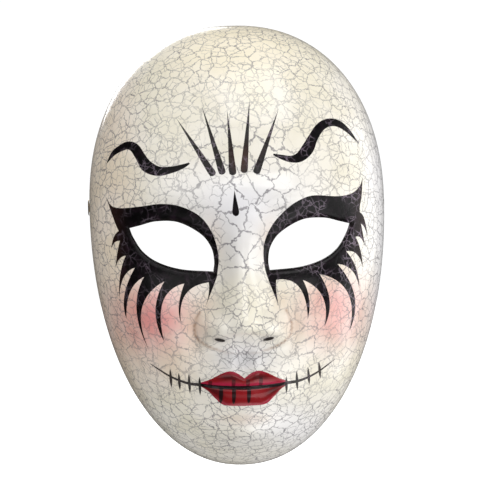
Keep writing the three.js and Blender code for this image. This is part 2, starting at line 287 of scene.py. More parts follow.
def stroke(points, spacing=0.8):
    """A brush stroke: each point is x, z and the stroke's width there."""
    line = spline(points, spacing)
    middle = line[:, :2]
    half = np.maximum(line[:, 2:], 0) / 2
    along = unit(np.gradient(middle, axis=0))
    across = np.stack([-along[:, 1], along[:, 0]], -1) * half
    left = middle + across
    right = (middle - across)[::-1]
    both = np.vstack([left, right])
    gap = np.linalg.norm(both - np.roll(both, 1, axis=0), axis=1)
    return both[gap > 0.02]


def counter_clockwise(outline):
    after = np.roll(outline, -1, axis=0)
    area = np.sum(outline[:, 0] * after[:, 1] - after[:, 0] * outline[:, 1])
    return outline if area > 0 else outline[::-1]


def grown(outline, distance):
    """The outline moved outward by a distance."""
    along = unit(np.roll(outline, -1, axis=0) - np.roll(outline, 1, axis=0))
    return outline + np.stack([along[:, 1], -along[:, 0]], -1) * distance


EYE_INNER = (14.2, -12.8)
EYE_OUTER = (55.5, 9.8)
UPPER_LID = [(13.6, -7.8), (14.9, -0.9), (20, 6), (31, 12.1), (42, 12.9), (50, 11.1)]
LOWER_LID = [(53.6, 5), (49, -2.2), (41.5, -7.7), (30, -11.4)]


def eye_hole(side):
    upper = spline([EYE_INNER, *UPPER_LID, EYE_OUTER], 1.0)
    lower = spline([EYE_OUTER, *LOWER_LID, EYE_INNER], 1.0)
    return counter_clockwise(np.vstack([upper[:-1], lower[:-1]]) * [side, 1])


NOSTRIL = (12.1, -47.0)
NOSTRIL_HALF_LENGTH = 2.75
NOSTRIL_HALF_HEIGHT = 0.85


def nostril(side):
    """A slit, its outer end a little higher."""
    turn = full_turn(20)
    tilt = math.radians(12)
    long, short = NOSTRIL_HALF_LENGTH * np.cos(turn), NOSTRIL_HALF_HEIGHT * np.sin(turn)
    x = NOSTRIL[0] + long * math.cos(tilt) - short * math.sin(tilt)
    z = NOSTRIL[1] + long * math.sin(tilt) + short * math.cos(tilt)
    return counter_clockwise(np.stack([side * x, z], -1))


# ---- Painted outlines, in the front view, in mm ----
# Brow strokes: x, z and the brush's width.
BROWS = [
    [(-66.5, 42.5, 0), (-63, 47.5, 2.2), (-59.5, 50, 3.2), (-55.5, 51.5, 4), (-52, 50, 4.8), (-49, 45, 5),
     (-46, 40.5, 6), (-40.5, 38, 4.8), (-34, 38.5, 3.3), (-28.5, 40, 2.2), (-25, 41.5, 0.8)],
    [(17, 45, 0.8), (21.5, 43.5, 2.4), (26, 42.5, 3.4), (30.5, 43.5, 5), (34.5, 47.5, 6.2), (37.5, 53, 5),
     (41, 58, 4.6), (45, 60.5, 4.2), (50, 60.5, 3.6), (55.5, 57, 2.4), (62, 49.5, 0)],
]
# Rays over the nose: tip and round foot. RAY_FOOT is the foot's width.
RAYS = [
    ((-31, 64.5), (-13, 35)),
    ((-18, 70), (-8.5, 35.5)),
    ((-5.5, 68), (-3.5, 35)),
    ((6, 73), (2, 36)),
    ((20.5, 68), (8, 35.5)),
]
RAY_FOOT = 3.6
TEARDROP = [(-3, 27.5, 0), (-2.9, 23, 1.5), (-2.7, 19, 2.8), (-2.6, 16.5, 3.4), (-2.5, 15.2, 2.6),
            (-2.5, 14.5, 0.6)]

# Round each eye: the upper edge from the wing's tip to the inner corner, the lower side of the wing, the
# point where the first lash starts, and then each lash as bend, tip, bend and the point where it ends.
EYE_PAINT = [
    {
        "upper": [(-67, 26), (-64.5, 21.5), (-60, 20), (-50, 20.5), (-40, 21.5), (-30, 20), (-20, 14.5),
                  (-14, 5.5), (-11.5, -5.5), (-12.5, -15.5)],
        "wing": [(-67, 26), (-64.5, 18), (-62.3, 11.5), (-61, 8.5)],
        "lashes": [
            [(-64, 7), (-65, -0.5), (-63.5, 4), (-60.5, 3.5)],
            [(-62.3, -2.5), (-63, -10.5), (-61.7, -4.3), (-57.7, -4)],
            [(-61.8, -12), (-61.5, -26), (-60.7, -12), (-53.3, -10.2)],
            [(-62, -24.7), (-58, -36), (-58.6, -19.6), (-48.8, -14.8)],
            [(-58, -30.2), (-47, -52), (-57.7, -27), (-38.8, -17.3)],
            [(-48, -32), (-39.5, -47.5), (-45.4, -22.3), (-28.8, -18.5)],
            [(-33.8, -30.3), (-31, -38), (-32.9, -20), (-16.7, -18.3)],
            [(-16, -23.2), (-18.7, -30.5), (-15, -21.8), (-12.5, -15.5)],
        ],
    },
    {
        "upper": [(63, 33), (61.4, 28.7), (58, 25.5), (54, 24), (48.5, 23.5), (41.5, 24), (36, 24),
                  (31, 22.5), (25.5, 19.5), (20.3, 15), (16, 10), (12.3, 3), (11, -4), (11.6, -12),
                  (13.2, -17.7)],
        "wing": [(63, 33), (62.2, 23.6), (61.1, 18), (61.1, 15.2)],
        "lashes": [
            [(64.1, 14), (65, 2.5), (63.7, 8.4), (61.6, 9.5)],
            [(62.4, 6), (63.5, -2), (61.5, 4.2), (58.5, 2.8)],
            [(61.7, -2.3), (62.2, -13), (60.2, -3.2), (53.4, -4.3)],
            [(60, -11.3), (60, -24), (58.5, -11.3), (48.6, -10.6)],
            [(63, -26.6), (54.5, -44.5), (60, -20), (39.2, -15.4)],
            [(47.7, -29), (41, -42), (45, -24), (30.7, -18.2)],
            [(35.4, -28), (32.5, -38), (32.4, -15.6), (17.2, -17.8)],
            [(16.5, -23.7), (18, -30.5), (15, -23), (13.2, -17.7)],
        ],
    },
]
UPPER_LIP = [(22.2, -68.6), (17, -66.8), (11.3, -64), (7, -62.9), (3.2, -64.2), (0, -66.6)]
LOWER_LIP = [(22, -70.2), (18.2, -72.7), (14.3, -76.8), (10, -80), (0, -80.6)]
SMILE = [(0, -71.3, 1.9), (12.5, -70.8, 1.7), (22, -69.6, 1.6), (27, -69, 1.4), (32.5, -67.2, 1.1),
         (37.5, -64.8, 0.9), (42, -61.9, 0.7), (46.7, -58.7, 0.2)]
# Cross strokes over the smile line: x and z at the top, x and z at the foot.
CROSS_STROKES = [
    (-36.8, -61.4, -36.2, -71), (-32.6, -63.5, -32, -72.4), (-27.6, -64, -27, -74.3),
    (-22.3, -65.5, -22, -75), (21.2, -66.4, 21.4, -75), (26.6, -63.8, 27, -73.8),
    (32.5, -62.2, 33.2, -71.2), (38.2, -59.6, 39, -68.2),
]
CROSS_WIDTH = 1.35
# Down strokes on the lips: x, then z at the top and at the foot, and how black the stroke is.
LIP_STROKES = [
    (-11.7, -71, -79, "dark"), (-5.3, -71, -79.4, "dark"), (2.2, -71, -79.2, "dark"),
    (-17, -67.6, -70.8, "faint"), (-5.4, -67, -71, "faint"), (1.8, -67, -71, "faint"),
    (8.3, -66.4, -71, "faint"),
]
LIP_STROKE_WIDTH = 2.0


def eye_paint(spec):
    start = spec["wing"][-1]
    parts = [spline(spec["wing"], 1.2)[:-1]]
    for bend_in, tip, bend_out, end in spec["lashes"]:
        parts += [bezier(start, bend_in, tip), bezier(tip, bend_out, end)]
        start = end
    parts.append(spline(spec["upper"][::-1], 1.2)[:-1])
    return counter_clockwise(np.vstack(parts))


def ray(tip, foot):
    """A long spike with a round foot, a little fuller below the middle."""
    tip, foot = np.array(tip), np.array(foot)
    along = [(0, 0), (0.25, 0.28), (0.5, 0.55), (0.75, 0.82), (0.95, 1), (0.985, 0.75), (1, 0.3)]
    return stroke([(*(tip + (foot - tip) * t), RAY_FOOT * width) for t, width in along])


def cross_stroke(x1, z1, x2, z2, width):
    along = [(0, 0), (0.15, 0.6), (0.45, 1), (0.75, 0.8), (1, 0)]
    return stroke([(x1 + (x2 - x1) * t, z1 + (z2 - z1) * t, width * w) for t, w in along])


def lip_stroke(x, top, foot):
    along = [(0, 0.7), (0.3, 1), (0.7, 0.9), (0.92, 0.6), (1, 0.15)]
    return stroke([(x - 0.3 * t, top + (foot - top) * t, LIP_STROKE_WIDTH * width) for t, width in along])


def lip_outline():
    right = np.vstack([spline(LOWER_LIP[::-1], 1.0)[:-1], spline(UPPER_LIP, 1.0)])
    left = (right[1:-1] * [-1, 1])[::-1]
    return counter_clockwise(np.vstack([right, left]))


def smile_line():
    mirrored = [(-x, z, width) for x, z, width in SMILE[:0:-1]]
    return stroke(mirrored + SMILE, 1.0)


def painted_outlines():
    """Every painted region: its name and its closed outline in the front view."""
    regions = [("ink", eye_paint(spec)) for spec in EYE_PAINT]
    regions += [("ink", stroke(brow)) for brow in BROWS]
    regions += [("ray", ray(*ends)) for ends in RAYS]
    regions.append(("ink", stroke(TEARDROP, 0.6)))
    regions.append(("lips", lip_outline()))
    regions.append(("line", smile_line()))
    regions += [("line", cross_stroke(*ends, CROSS_WIDTH)) for ends in CROSS_STROKES]
    regions += [(f"{tone} lip line", lip_stroke(x, top, foot)) for x, top, foot, tone in LIP_STROKES]
    return [(name, counter_clockwise(outline)) for name, outline in regions]


# ---- The turned-in edge of the eye holes ----
EYES = [eye_hole(-1), eye_hole(1)]


def nearest_on(points, outline):
    """Distance from each point to a closed outline, and the direction towards it."""
    best = np.full(len(points), 1e9)
    towards = np.zeros((len(points), 2))
    for a, b in zip(outline, np.roll(outline, -1, axis=0)):
        ab = b - a
        t = np.clip((points - a) @ ab / max(ab @ ab, 1e-12), 0, 1)
        gap = a + t[:, None] * ab - points
        distance = np.linalg.norm(gap, axis=1)
        closer = distance < best
        best[closer] = distance[closer]
        towards[closer] = gap[closer] / np.maximum(distance[closer, None], 1e-9)
    return best, towards


def rolled_face(sheet):
    """Points and normals of the outer face, with the edges of the eye holes turned in."""
    points = outer_face(sheet)
    normals = outward(sheet, 0.4)
    front = points[:, [0, 2]]
    for outline in EYES:
        low, high = outline.min(0) - ROLL, outline.max(0) + ROLL
        near = np.flatnonzero(np.all((front > low) & (front < high), axis=1))
        distance, towards = nearest_on(front[near], outline)
        on_edge = distance < 1e-3
        if on_edge.any():
            towards[on_edge] = edge_directions(front[near][on_edge], outline)
        u = np.clip(1 - distance / ROLL, 0, 1)
        level = np.sqrt(1 - u * u)
        points[near, 1] += ROLL * (1 - level)
        into_hole = np.stack([towards[:, 0], np.zeros(len(near)), towards[:, 1]], -1)
        normals[near] = unit(normals[near] * level[:, None] + into_hole * u[:, None])
    return points, normals


def edge_directions(points, outline):
    """The direction into the hole, for points that lie on its outline."""
    along = unit(np.roll(outline, -1, axis=0) - np.roll(outline, 1, axis=0))
    inward = np.stack([-along[:, 1], along[:, 0]], -1)
    tree = KDTree(len(outline))
    for i, (x, z) in enumerate(outline):
        tree.insert((x, z, 0), i)
    tree.balance()
    return np.array([inward[tree.find((x, z, 0))[1]] for x, z in points])


# ---- The shell's mesh: a flat triangulation with every outline in it, lifted onto the face ----
ROLL_RINGS = (0.12, 0.4, 0.9, 1.6, 2.4, 3.1)   # distances from the eye hole, in mm
RIM_POINTS = 420
COARSE = 1.7             # mm between points
FINE = 0.85              # the same round the eyes, nose and mouth
ROW_GAP = 0.866          # between rows of even triangles, as a share of the points' spacing
GRID_REACH = (110, 160)  # half the grid's width and height, past the whole sheet
EDGE_MARGIN = 0.012      # gauge left free inside the rim


def rim_loop():
    turn = full_turn(RIM_POINTS)
    way = np.stack([np.cos(turn), np.sin(turn)], -1)
    return way * (RIM / gauge(way[:, 0], WIDEST_Z + way[:, 1]))[:, None] + [0, WIDEST_Z]


def triangle_grid(spacing):
    """Rows of points that make even triangles, over more than the whole sheet."""
    wide, high = GRID_REACH
    rows = []
    for k, z in enumerate(np.arange(-high, high, spacing * ROW_GAP)):
        x = np.arange(-wide, wide, spacing) + (k % 2) * spacing / 2
        rows.append(np.stack([x, np.full_like(x, z)], -1))
    return np.vstack(rows)


def needs_fine(sheet):
    x, z, r, _ = to_front(sheet)
    side = np.abs(x)
    mouth = (side < 26) & (z < -50) & (z > -90)
    nose = (side < 27) & (z < -28) & (z > -58)
    eyes = (side < 66) & (np.abs(z) < 22)
    return (r < 1) & (mouth | nose | eyes)


def triangulate():
    """Sheet points, triangles and, for each triangle, the set of regions that it lies in."""
    points, edges, faces, names = [], [], [], []

    def add_loop(loop, name=None):
        first = len(points)
        points.extend(loop)
        numbers = list(range(first, len(points)))
        if name:
            faces.append(numbers)
            names.append(name)
        else:
            edges.extend(zip(numbers, numbers[1:] + numbers[:1]))

    for side in (-1, 1):
        add_loop(to_sheet(eye_hole(side)), "hole")
        add_loop(to_sheet(nostril(side)), "hole")
    for name, outline in painted_outlines():
        add_loop(to_sheet(outline), name)
    for outline in EYES:
        for distance in ROLL_RINGS:
            add_loop(to_sheet(grown(outline, distance)))
    add_loop(rim_loop())
    coarse, fine = triangle_grid(COARSE), triangle_grid(FINE)
    coarse = coarse[(gauge(*coarse.T) < RIM - EDGE_MARGIN) & ~needs_fine(coarse)]
    points.extend(np.vstack([coarse, fine[needs_fine(fine)]]))

    flat = [Vector(p) for p in points]
    verts, _, triangles, _, _, sources = delaunay_2d_cdt(flat, edges, faces, 0, 1e-4)
    sheet = np.array([v[:] for v in verts])
    triangles = np.array(triangles)
    regions = [{names[i] for i in source} for source in sources]
    middles = sheet[triangles].mean(axis=1)
    inside = gauge(middles[:, 0], middles[:, 1]) < RIM
    kept = [k for k, region in enumerate(regions) if inside[k] and "hole" not in region]
    triangles = triangles[kept]
    regions = [regions[k] for k in kept]
    a, b, c = (sheet[triangles[:, k]] for k in range(3))
    clockwise = (b[:, 0] - a[:, 0]) * (c[:, 1] - a[:, 1]) < (b[:, 1] - a[:, 1]) * (c[:, 0] - a[:, 0])
    triangles[clockwise] = triangles[clockwise][:, ::-1]
    used, triangles = np.unique(triangles, return_inverse=True)
    return sheet[used], triangles.reshape(-1, 3), regions


# ---- Making objects ----
def make_object(name, points_mm, faces, body, nodes, material, sharp=None):
    """A mesh piece, from points in mm, that rides on a body and stands for its CAD nodes."""
    mesh = bpy.data.meshes.new(name)
    mesh.from_pydata((np.asarray(points_mm) * MM).tolist(), [], [list(map(int, face)) for face in faces])
    mesh.update()
    mesh.shade_smooth()
    if sharp is not None:
        mesh.set_sharp_from_angle(angle=math.radians(sharp))
    mesh.materials.append(material)
    piece = add_object(name, mesh)
    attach(piece, body)
    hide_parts(*nodes)
    return piece


def set_values(mesh, name, values, domain="POINT"):
    values = np.asarray(values, float)
    kind, key = ("FLOAT", "value") if values.ndim == 1 else ("FLOAT_VECTOR", "vector")
    mesh.attributes.new(name, kind, domain).data.foreach_set(key, values.ravel())


# ---- Node helpers ----
def srgb(red, green, blue):
    """A colour as seen on a screen, 0 to 255, to the linear values that Blender uses."""
    parts = [v / 255 for v in (red, green, blue)]
    return (*(v / 12.92 if v <= 0.04045 else ((v + 0.055) / 1.055) ** 2.4 for v in parts), 1)


def new_material(name, colour, **settings):
    material = bpy.data.materials.new(name)
    material.use_nodes = True
    material.diffuse_color = colour
    tree = material.node_tree
    shader = tree.nodes["Principled BSDF"]
    shader.inputs["Base Color"].default_value = colour
    for socket, value in settings.items():
        shader.inputs[socket.replace("_", " ").title().replace("Ior", "IOR")].default_value = value
    return material, tree, shader


def plug(tree, socket, value):
    if isinstance(value, bpy.types.NodeSocket):
        tree.links.new(value, socket)
    else:
        socket.default_value = value


def maths(tree, operation, a, b=0.0):
    node = tree.nodes.new("ShaderNodeMath")
    node.operation = operation
    plug(tree, node.inputs[0], a)
    plug(tree, node.inputs[1], b)
    return node.outputs[0]


def ramp(tree, value, from_low, from_high, to_low=0.0, to_high=1.0):
    """Smooth step of a value."""
    node = tree.nodes.new("ShaderNodeMapRange")
    node.interpolation_type = "SMOOTHSTEP"
    limits = (value, from_low, from_high, to_low, to_high)
    for name, limit in zip(("Value", "From Min", "From Max", "To Min", "To Max"), limits):
        plug(tree, node.inputs[name], limit)
    return node.outputs["Result"]


def mix(tree, share, a, b):
    node = tree.nodes.new("ShaderNodeMix")
    node.data_type = "RGBA"
    plug(tree, node.inputs["Factor"], share)
    plug(tree, node.inputs["A"], a)
    plug(tree, node.inputs["B"], b)
    return node.outputs["Result"]


def attribute(tree, name, output="Fac"):
    node = tree.nodes.new("ShaderNodeAttribute")
    node.attribute_name = name
    return node.outputs[output]


def noise(tree, vector, scale, detail=2.0, output="Fac", offset=None):
    if offset is not None:
        vector = shift(tree, vector, offset)
    node = tree.nodes.new("ShaderNodeTexNoise")
    plug(tree, node.inputs["Vector"], vector)
    node.inputs["Scale"].default_value = scale
    node.inputs["Detail"].default_value = detail
    return node.outputs[output]


def finish_material(tree, shader, colour, normal, roughness=None):
    plug(tree, shader.inputs["Base Color"], colour)
    plug(tree, shader.inputs["Normal"], normal)
    if roughness is not None:
        plug(tree, shader.inputs["Roughness"], roughness)


def times(tree, a, b):
    return maths(tree, "MULTIPLY", a, b)


def clouds(tree, vector, scale, detail, low, high, to_low=0.0, to_high=1.0, offset=None):
    """Soft patches: a noise, with its range from low to high spread out. The offset picks another noise."""
    return ramp(tree, noise(tree, vector, scale, detail, offset=offset), low, high, to_low, to_high)


def vector_maths(tree, operation, a, b=(0, 0, 0), scale=1.0):
    node = tree.nodes.new("ShaderNodeVectorMath")
    node.operation = operation
    plug(tree, node.inputs[0], a)
    if operation == "SCALE":
        plug(tree, node.inputs["Scale"], scale)
    else:
        plug(tree, node.inputs[1], b)
    return node.outputs[0]


def shift(tree, vector, offset):
    return vector_maths(tree, "ADD", vector, offset)


def wander(tree, vector, scale, amount, offset):
    """The vector pushed about by a noise, by up to `amount` each way."""
    push = noise(tree, vector, scale, 2.0, "Color", offset)
    centred = vector_maths(tree, "SUBTRACT", push, (0.5, 0.5, 0.5))
    return vector_maths(tree, "ADD", vector, vector_maths(tree, "SCALE", centred, scale=2 * amount))


def bump(tree, height, strength, distance_mm):
    node = tree.nodes.new("ShaderNodeBump")
    node.inputs["Strength"].default_value = strength
    node.inputs["Distance"].default_value = distance_mm * MM
    plug(tree, node.inputs["Height"], height)
    return node.outputs["Normal"]


# ---- Glazed shell ----
def cracks(tree, sheet, cell, half_width, softness, offset, jag):
    """1 on the cracks between cells of about `cell` mm, 0 inside the cells."""
    vector = shift(tree, sheet, offset)
    vector = wander(tree, vector, 0.11, cell * 0.22, (7, 3, 0))
    vector = wander(tree, vector, 0.5, jag, (1, 9, 0))
    vector = wander(tree, vector, 1.3, jag * 0.55, (5, 2, 0))
    node = tree.nodes.new("ShaderNodeTexVoronoi")
    node.voronoi_dimensions = "2D"
    node.feature = "DISTANCE_TO_EDGE"
    node.inputs["Scale"].default_value = 1 / cell
    plug(tree, node.inputs["Vector"], vector)
    gap = times(tree, node.outputs["Distance"], cell)
    reach = maths(tree, "ADD", half_width, softness)
    return ramp(tree, gap, half_width, reach, 1.0, 0.0)


# Colours as seen on a screen
CREAM = srgb(240, 235, 224)
DEEP_CREAM = srgb(232, 226, 208)
WARM_CREAM = srgb(250, 238, 208)
# Painted highlight and painted reflection: the pale grey below
PAINTED_HIGHLIGHT_GREY = srgb(236, 235, 238)
# Airbrushed tints, with painted shade among them: round the nostrils, between the eyes, along the nose wings,
# under the lip and on the left side
AIRBRUSH_AND_SHADE = {
    "blush": srgb(226, 128, 128),
    # Tan: airbrushed under the eyes and by the lids, and painted shade by the nose wings, in the fold under
    # the lip and on the left side
    "tan": srgb(214, 168, 128),
    # Painted shade round the nostrils and between the eyes
    "painted_shade": srgb(120, 112, 106),
    # Painted shade: a thin dark line along the crease round the nose wings
    "crease": srgb(150, 112, 84),
}
CRACK_GREY = srgb(116, 113, 118)
INK = srgb(4, 1, 3)
INK_SHEEN = srgb(30, 15, 27)
INK_BROWN = srgb(84, 46, 34)
INK_WORN = srgb(134, 120, 134)
LIP_RED = srgb(138, 0, 12)
LIP_PALE_AND_HIGHLIGHT = srgb(176, 30, 68)
LIP_DARK = srgb(48, 0, 3)
LIP_LINE = srgb(12, 1, 4)

WIDE_CELL = 6.6          # mm between cracks in the middle of the face
MEDIUM_CELL = 4.9        # the same elsewhere
SMALL_CELL = 3.1         # fine cracks that branch off here and there
CRACK_STRENGTH = 0.84
INK_COAT_LOSS = 0.84     # how much thinner the clear coat looks over ink
LIP_COAT_LOSS = 0.45     # the same over the lips


def crackle(tree, sheet):
    """Every crack together, then the medium and the small ones alone."""
    broad = attribute(tree, "broad")
    fine = maths(tree, "SUBTRACT", 1.0, broad)
    thick = clouds(tree, sheet, 0.21, 2.0, 0.35, 0.7, 0.0, 0.16, offset=(40, 0, 0))
    wide = cracks(tree, sheet, WIDE_CELL, thick, 0.34, (0, 0, 0), 1.25)
    medium = cracks(tree, sheet, MEDIUM_CELL, 0.03, 0.27, (52, 38, 0), 1.05)
    small = cracks(tree, sheet, SMALL_CELL, 0.0, 0.24, (31, 17, 0), 0.7)
    gate = noise(tree, sheet, 0.14, 2.0, offset=(90, 20, 0))
    open_gate = ramp(tree, maths(tree, "ADD", gate, times(tree, fine, 0.12)), 0.5, 0.62)
    main = maths(tree, "MAXIMUM", times(tree, wide, broad), times(tree, medium, fine))
    branches = times(tree, times(tree, small, open_gate), 0.75)
    return maths(tree, "MAXIMUM", main, branches), medium, small


def glaze_material():
    """Cream crackle glaze under a clear coat, with the painted features in it."""
    material, tree, shader = new_material(
        "crackle_glaze", CREAM, roughness=0.42, coat_weight=1.0, coat_roughness=0.16, specular_ior_level=0.2)
    sheet = attribute(tree, "sheet", "Vector")

    # Cream ground, warmer on top, and paler grey between the eyes, over the lip, at the right edge and on the
    # right of the chin: the pale grey is painted highlight, and painted reflection at the right edge
    colour = mix(tree, clouds(tree, sheet, 0.05, 3.0, 0.35, 0.65), CREAM, DEEP_CREAM)
    colour = mix(tree, attribute(tree, "warm"), colour, WARM_CREAM)
    colour = mix(tree, attribute(tree, "pale"), colour, PAINTED_HIGHLIGHT_GREY)

    patchy = clouds(tree, sheet, 0.16, 4.0, 0.25, 0.6, 0.72, 1.0, offset=(0, 60, 0))
    for name, tint in AIRBRUSH_AND_SHADE.items():
        colour = mix(tree, times(tree, attribute(tree, name), patchy), colour, tint)

    crack, medium, small = crackle(tree, sheet)
    fade = clouds(tree, sheet, 0.09, 2.0, 0.3, 0.55, 0.62, 1.0, offset=(5, 5, 0))
    colour = mix(tree, times(tree, crack, times(tree, fade, CRACK_STRENGTH)), colour, CRACK_GREY)

    # Painted lines, with the ground showing in the cracks here and there
    ink = attribute(tree, "ink")
    # Purple patches on the black ink: a painted sheen, standing for reflections on the glossy paint
    sheen = clouds(tree, sheet, 0.35, 5.0, 0.45, 0.75, offset=(3, 33, 0))
    black = mix(tree, sheen, INK, INK_SHEEN)
    black = mix(tree, attribute(tree, "brown"), black, INK_BROWN)
    worn_gate = clouds(tree, sheet, 0.1, 3.0, 0.45, 0.62, offset=(44, 8, 0))
    scratch = times(tree, maths(tree, "MAXIMUM", small, medium), worn_gate)
    black = mix(tree, times(tree, scratch, attribute(tree, "worn")), black, INK_WORN)
    colour = mix(tree, ink, colour, black)

    # Lips: crimson, paler above the mouth line and at the corners, and paler at the rims, partly lip paint
    # and partly a painted highlight on the rounded edges
    lips = attribute(tree, "lips")
    red = mix(tree, attribute(tree, "lip_pale_and_highlight"), LIP_RED, LIP_PALE_AND_HIGHLIGHT)
    red = mix(tree, attribute(tree, "lip_dark"), red, LIP_DARK)
    red = mix(tree, attribute(tree, "lip_line"), red, LIP_LINE)
    colour = mix(tree, lips, colour, red)

    thinner = maths(tree, "ADD", times(tree, ink, INK_COAT_LOSS), times(tree, lips, LIP_COAT_LOSS))
    plug(tree, shader.inputs["Coat Weight"], maths(tree, "SUBTRACT", 1.0, thinner))

    # The cracks are sunk a little into the glaze; the coat over them is nearly level
    grain = noise(tree, sheet, 1.3, 3.0)
    sunk = maths(tree, "SUBTRACT", times(tree, grain, 0.12), crack)
    finish_material(tree, shader, colour, bump(tree, sunk, 0.5, 0.12),
                    clouds(tree, sheet, 0.5, 3.0, 0.3, 0.7, 0.36, 0.5))
    ripple = noise(tree, sheet, 0.09, 1.0, offset=(70, 70, 0))
    level = maths(tree, "SUBTRACT", times(tree, ripple, 3.0), times(tree, crack, 0.35))
    plug(tree, shader.inputs["Coat Normal"], bump(tree, level, 0.5, 0.12))
    return material


def lining_material():
    """The bare back of the moulding: matt off-white plastic, dulled by overspray round the eye holes and the
    rim, with painted shade round the nostril slits.
    """
    bare = srgb(214, 210, 200)
    material, tree, shader = new_material("bare_plastic", bare, roughness=0.55)
    sheet = attribute(tree, "sheet", "Vector")
    # Overspray round the eye holes and the rim, and painted shade round the nostril slits
    overspray_and_shade = times(tree, attribute(tree, "edge"), clouds(tree, sheet, 0.35, 5.0, 0.3, 0.7, 0.3, 0.75))
    cloudy = mix(tree, clouds(tree, sheet, 0.06, 3.0, 0.35, 0.65), bare, srgb(200, 195, 184))
    drawn_out = vector_maths(tree, "MULTIPLY", sheet, (1, 0.12, 1))
    scuffs = clouds(tree, drawn_out, 1.4, 4.0, 0.62, 0.75, 0, 0.35)
    marked = mix(tree, scuffs, cloudy, srgb(228, 225, 218))
    pores = noise(tree, sheet, 2.2, 4.0)
    finish_material(tree, shader, mix(tree, overspray_and_shade, marked, srgb(72, 66, 66)), bump(tree, pores, 0.35, 0.15),
                    ramp(tree, pores, 0.3, 0.7, 0.46, 0.66))
    return material


# How much of each painted region every face attribute takes.
REGION_SHARES = {
    "ink": {"ink": 1, "ray": 0.97, "line": 0.95},
    "lips": {"lips": 1},
    "lip_line": {"dark lip line": 0.93, "faint lip line": 0.62, "line": 0.97},
}


def paint_values(mesh, front, regions):
    """What the glaze material reads: airbrushed tints, painted shade and painted highlights on the points,
    painted regions on the faces.
    """
    x, z = front[:, 0], front[:, 2]
    side = np.abs(x)
    set_all(mesh, airbrush_shade_and_highlight_tints(x, z, side))
    set_all(mesh, lip_tints(side, z))
    set_all(mesh, ink_tints(x, z, side))
    for value, parts in REGION_SHARES.items():
        on_face = [max((parts.get(name, 0) for name in region), default=0) for region in regions]
        if value == "ink":
            on_face = [0 if "lips" in region else share for share, region in zip(on_face, regions)]
        set_values(mesh, value, on_face, "FACE")


def set_all(mesh, values):
    for name, value in values.items():
        set_values(mesh, name, value)


# Airbrushed tints, painted shade and painted highlights, for each point of the glaze
def airbrush_shade_and_highlight_tints(x, z, side):
    left_blush = 0.85 * hill(x, z, -46, -35.5, 19, 17, 2.4)
    right_blush = 0.66 * hill(x, z, 47, -34, 17, 17, 2.4)

    # Painted shade in the crease behind each nose wing
    wing_crease_shade = 0.3 * hill(side, z, 25.5, -41, 4.5, 9)
    under_eyes = 0.24 * hill(side, z, 18.5, -28.5, 5, 6)
    lids = 0.22 * hill(side, z, 14, 3, 5, 12)
    # Painted shade in the fold under the lip
    chin = 0.2 * hill(side, z, 0, -87, 13, 3)
    # Painted shade on the left side, away from the key light
    left_side_shade = 0.26 * smooth(-42, -64, x)
    left_jaw_shade = 0.26 * hill(x, z, -38, -60, 15, 13)

    # Painted shade round the nostril slits and between the eyes
    nostril_shade = 0.7 * hill(side, z, NOSTRIL[0], NOSTRIL[1] + 0.2, 3.6, 1.5, 2.6)
    between_eyes = 0.16 * hill(side, z, 0, 4, 15, 17)

    # Painted highlights between the brows, on the bridge and over the lip groove, painted reflection at the
    # right edge, painted highlight on the right of the chin
    brow_gap = 0.9 * hill(side, z, 0, 22, 34, 16, 2.4)
    bridge = 0.5 * hill(side, z, 0, -2, 16, 16, 2.4)
    groove = 0.9 * hill(side, z, 0, -57, 15, 8, 2.4)
    right_edge_reflection = 0.8 * smooth(58, 74, x)
    right_jaw_highlight = 0.7 * hill(x, z, 24, -94, 30, 17)

    # Painted shade along the crease round the nose wings
    wing_line = spline([(21.5, -33), (24.3, -40), (22.8, -46.5), (16, -51), (8, -53.5), (-0.5, -54.5)], 0.8)
    distance = nearest_on(np.stack([side, z], -1), np.vstack([wing_line, wing_line[::-1]]))[0]

    forehead = hill(x, z, 4, 36, 40, 40, 3)
    nose = hill(x, z, 0, -6, 16, 20, 3)
    cheeks = 0.8 * hill(side, z, 34, -50, 16, 22, 3)
    return {
        "blush": left_blush + right_blush,
        "tan": np.clip(wing_crease_shade + under_eyes + lids + chin + left_side_shade + left_jaw_shade, 0, 1),
        "painted_shade": np.clip(nostril_shade + between_eyes, 0, 1),
        "warm": 0.6 * smooth(62, 104, z) * smooth(60, 10, side),
        "pale": np.clip(brow_gap + bridge + groove + right_edge_reflection + right_jaw_highlight, 0, 0.95),
        "crease": 0.8 * np.exp(-(distance / 0.55) ** 2) * (0.2 + 0.8 * smooth(4, 18, side)),
        "broad": np.clip(forehead + nose + cheeks, 0, 1),
    }


def lip_tints(side, z):
    mouth = (side / LIP_HALF_WIDTH) ** 2
    level = lip_height(side, z)
    # The rims: partly paler lip paint, partly a painted highlight on the lips' rounded edges
    rim = 0.8 * smooth(0.8, 1.0, np.abs(level)) * (1 - 0.6 * mouth)
    above_line = 0.85 * smooth(0.42, 0.2, level) * smooth(0, 0.06, level)
    corners = 0.7 * smooth(0.5, 0.95, mouth) * (level > 0)
    lobes = 0.85 * hill(side, level, 7.5, 0.62, 5.5, 0.17, 2.4)
    pout = 0.8 * hill(side, level, 15, -0.42, 4.5, 0.3, 2.4)
    return {"lip_pale_and_highlight": np.clip(rim + above_line + corners, 0, 1), "lip_dark": np.clip(lobes + pout, 0, 1)}


def ink_tints(x, z, side):
    """Brown at the lashes' tips and the rays' feet, and where the black is worn."""
    tips = np.clip(smooth(54, 68, side) + 0.5 * smooth(-26, -46, z) * smooth(30, 44, side), 0, 1)
    feet = smooth(56, 34, z) * smooth(30, 45, z - side) * smooth(40, 8, side) * smooth(-14, 4, x)
    worn = 0.3 + 0.5 * smooth(10, 60, x) * (z < 40) + 0.3 * (z > 35)
    return {"brown": np.clip(0.25 * tips * (z < 40) + 0.8 * feet, 0, 1), "worn": np.clip(worn, 0, 0.85)}


